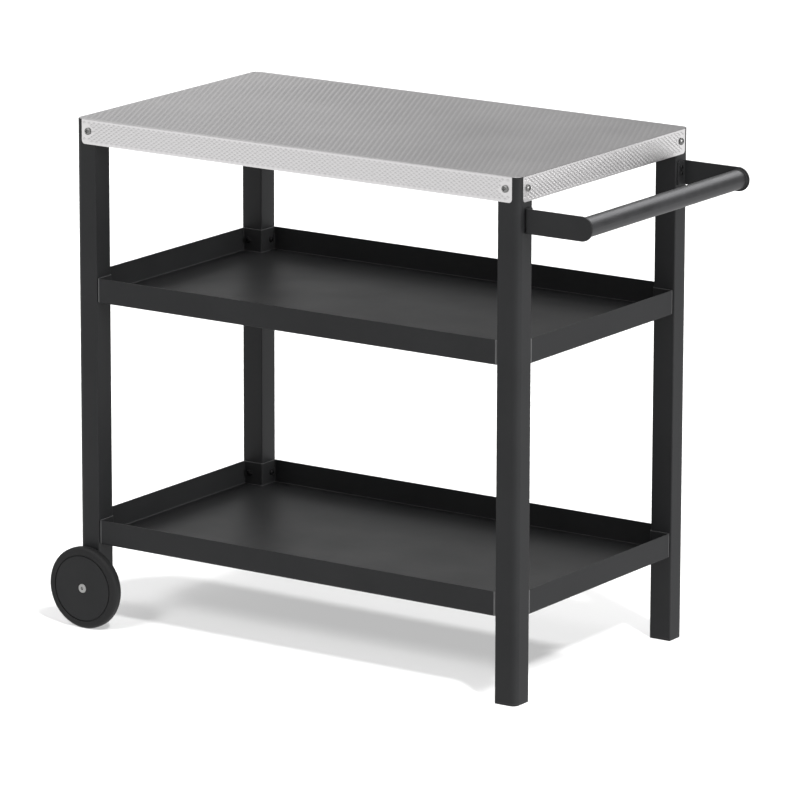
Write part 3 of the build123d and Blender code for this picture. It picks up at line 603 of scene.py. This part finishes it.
def fold(uv, outer=True):
    """Places and outward normals of flat-sheet points on the folded sheet."""
    u, v = uv[:, 0], uv[:, 1]
    cx = np.clip(u, XL + CORNER, XR - CORNER)
    cy = np.clip(v, YF + CORNER, YB - CORNER)
    dx, dy = u - cx, v - cy
    r = np.hypot(dx, dy)
    e = np.maximum(r - (CORNER - BEND), 0.0)
    safe = np.maximum(r, 1e-9)
    nx, ny = dx / safe, dy / safe
    sx, sy = cx + nx * np.minimum(r, CORNER - BEND), cy + ny * np.minimum(r, CORNER - BEND)
    if outer:
        t = np.minimum(e, ARC) / BEND
        out, down = BEND * np.sin(t), BEND * (1 - np.cos(t)) + np.maximum(e - ARC, 0)
        place = np.stack([sx + nx * out, sy + ny * out, TOP - down], 1)
        normal = np.stack([nx * np.sin(t), ny * np.sin(t), np.cos(t)], 1)
        # how far the sheet lies under the lozenges' tops: less towards the open corners' rims
        corner = (np.abs(u - (XL + XR) / 2) > (XR - XL) / 2 - GAP - 1e-3) & (np.abs(v) > YB - GAP - 1e-3)
        sunk = PIP * np.where(corner & (e <= RIM + 1e-6), 1 - 0.7 * e / RIM, 1.0)
        return place, normal, sunk
    half = ARC / 2
    out = np.minimum(e / half, 1.0) * (BEND - 1.0)
    down = np.clip((e - half) / half, 0, 1) * (UNDER - TOP + BEND) + np.maximum(e - ARC, 0)
    return np.stack([sx + nx * out, sy + ny * out, UNDER - down], 1)


def in_polygon(points, polygon):
    x, y = points[:, 0], points[:, 1]
    inside = np.zeros(len(points), bool)
    q = np.array(polygon)
    for (x0, y0), (x1, y1) in zip(q, np.roll(q, -1, 0)):
        cross = (y0 > y) != (y1 > y)
        if cross.any():
            at = (x1 - x0) * (y - y0) / (y1 - y0 + (y1 == y0)) + x0
            inside ^= cross & (x < at)
    return inside


def embossed_sheet():
    outline, (loops, lines), screws = sheet_outline(), bend_loops(), screw_places()
    points, edges, kind = [], [], []

    def ring(ps, k, closed=True):
        n = len(points)
        points.extend(ps)
        kind.extend([k] * len(ps))
        edges.extend((n + i, n + (i + 1) % len(ps)) for i in range(len(ps) if closed else len(ps) - 1))

    def flat_sheet(with_pips):
        points.clear(), edges.clear(), kind.clear()
        ring(outline, 0)
        for loop in loops:
            ring(loop, 0)
        for line in lines:
            ring(list(line), 0, closed=False)
        for x, y in screws:
            ring([(x + HOLE_R * math.cos(math.tau * i / 16), y + HOLE_R * math.sin(math.tau * i / 16)) for i in range(16)], 0)
        if with_pips:
            for u, v, turned, (_, long, wide, flat_long, flat_wide) in lozenges():
                for a, b, k in ((long, wide, 1), (flat_long, flat_wide, 2)):
                    shape = ((a, 0), (0, b), (-a, 0), (0, -b))
                    ring([(u + q, v + p) if turned else (u + p, v + q) for p, q in shape], k)
        co, _, faces, orig, _, _ = delaunay_2d_cdt([Vector(p) for p in points], edges, [], 0, 1e-5)
        co = np.array([tuple(p) for p in co])
        k = np.array([max((kind[i] for i in o), default=0) for o in orig])
        faces = np.array(faces)
        mid = co[faces].mean(1)
        keep = in_polygon(mid, outline)
        for x, y in screws:
            keep &= np.hypot(mid[:, 0] - x, mid[:, 1] - y) > HOLE_R * 0.99
        faces = faces[keep]
        a, b, c = (co[faces[:, i]] for i in range(3))
        turn = (b[:, 0] - a[:, 0]) * (c[:, 1] - a[:, 1]) - (b[:, 1] - a[:, 1]) * (c[:, 0] - a[:, 0])
        faces[turn < 0] = faces[turn < 0][:, ::-1]
        return co, k, faces[np.abs(turn) > 1e-9]

    co, k, top = flat_sheet(True)
    place, normal, sunk = fold(co)
    place = place - normal * np.where(k == 2, 0.0, sunk)[:, None]
    co2, _, bottom = flat_sheet(False)
    under = fold(co2, outer=False)

    # the rim: each open edge of the upper sheet joined to the same edge of the lower one
    e = np.concatenate([top[:, [0, 1]], top[:, [1, 2]], top[:, [2, 0]]])
    seen = {tuple(p) for p in e}
    rim = [(a, b) for a, b in e if (b, a) not in seen]
    key = {(round(x, 3), round(y, 3)): i for i, (x, y) in enumerate(co2)}
    n = len(co)
    sides = []
    for a, b in rim:
        a2, b2 = (key[(round(co[i][0], 3), round(co[i][1], 3))] + n for i in (a, b))
        sides.append((b, a, a2, b2))
    verts = np.concatenate([place, under]) * MM
    faces = [tuple(f) for f in top] + [tuple(f[::-1]) for f in bottom + n] + sides
    used = np.zeros(len(verts), bool)
    for f in faces:
        used[list(f)] = True
    index = np.cumsum(used) - 1
    mesh = bpy.data.meshes.new("table_top_embossed")
    mesh.from_pydata(verts[used].tolist(), [], [tuple(int(index[i]) for i in f) for f in faces])
    mesh.update()
    mesh.polygons.foreach_set("use_smooth", np.ones(len(mesh.polygons), bool))
    # normals: the fold's own on the sheet, rounded on the lozenges, flat underneath and on rims
    face_normal = np.zeros(len(mesh.polygons) * 3, np.float32)
    mesh.polygons.foreach_get("normal", face_normal)
    face_normal = face_normal.reshape(-1, 3).astype(float)
    raised = (k[top] == 2).any(1)
    round_normal = np.zeros_like(place)
    tri = place[top[raised]]
    area = np.cross(tri[:, 1] - tri[:, 0], tri[:, 2] - tri[:, 0])
    for i in range(3):
        np.add.at(round_normal, top[raised][:, i], area)
    round_normal /= np.maximum(np.linalg.norm(round_normal, axis=1), 1e-12)[:, None]
    split = []
    for i in range(len(top)):
        split.extend(round_normal[top[i]] if raised[i] else normal[top[i]])
    for p in mesh.polygons[len(top):]:
        split.extend([face_normal[p.index]] * p.loop_total)
    mesh.normals_split_custom_set([tuple(map(float, v)) for v in split])
    mesh.materials.append(MATERIALS["embossed_steel"])
    o = bpy.data.objects.new("table_top_embossed", mesh)
    scene.collection.objects.link(o)
    return o


top = embossed_sheet()
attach(top, "cart")
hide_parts("table_top")

# what each of the smaller lamps is flagged to
bar = nodes["handle_bar"]
painted = [o for n, o in nodes.items() if n not in ("table_top", "handle_bar")]
softbox_back.light_linking.receiver_collection = group("all_but_top_and_bar", painted)
bar_light.light_linking.receiver_collection = group("bar_only", [bar])
shelf_fill.light_linking.receiver_collection = group("shelves", [nodes["middle_shelf"], nodes["bottom_shelf"]])
shelf_key.light_linking.receiver_collection = shelf_fill.light_linking.receiver_collection
side_key.light_linking.receiver_collection = group("all_but_top_and_shelves", [
    o for n, o in nodes.items() if n not in ("table_top", "middle_shelf", "bottom_shelf")])
softbox_right.light_linking.receiver_collection = group("top_only", [top])
skirt_key.light_linking.receiver_collection = softbox_right.light_linking.receiver_collection
skirt_key.light_linking.blocker_collection = softbox_right.light_linking.receiver_collection
softbox_front.light_linking.receiver_collection = softbox_right.light_linking.receiver_collection

# =============================================================================
# Floor
# =============================================================================
def floor():
    mesh = bpy.data.meshes.new("floor")
    s = 40.0
    mesh.from_pydata([(-s, -s, 0), (s, -s, 0), (s, s, 0), (-s, s, 0)], [], [(0, 1, 2, 3)])
    k = Mat("floor_white")
    cloud = k.noise(3.0, 2.0)
    k.to("Base Color", k.ramp(cloud, (0.3, (0.248, 0.248, 0.248)), (0.7, (0.252, 0.252, 0.252))))
    k.set(Roughness=0.9, Specular_IOR_Level=0.0, Emission_Color=(1.0, 1.0, 1.0, 1.0), Emission_Strength=0.47)
    mesh.materials.append(k.m)
    o = bpy.data.objects.new("floor", mesh)
    scene.collection.objects.link(o)
    # the studio's own light stands in for the floor's bounce, so the shadow stays pale
    o.visible_diffuse = o.visible_glossy = o.visible_shadow = False
    lit = group("floor_only", [o])
    low_parts = group("low_parts", [nodes[n] for n in nodes if n.startswith("bottom_shelf") or n.startswith("wheel_") and n.endswith("front")])
    for l in FLOOR_LAMPS:
        l.light_linking.receiver_collection = lit
        l.light_linking.blocker_collection = low_parts
    with_legs = [o for n, o in nodes.items() if n.endswith(("_front_right", "_rear_right")) and n.startswith(("leg_", "foot_"))]
    FLOOR_LAMPS[1].light_linking.blocker_collection = group("low_parts_and_legs", list(low_parts.objects) + with_legs)


floor()
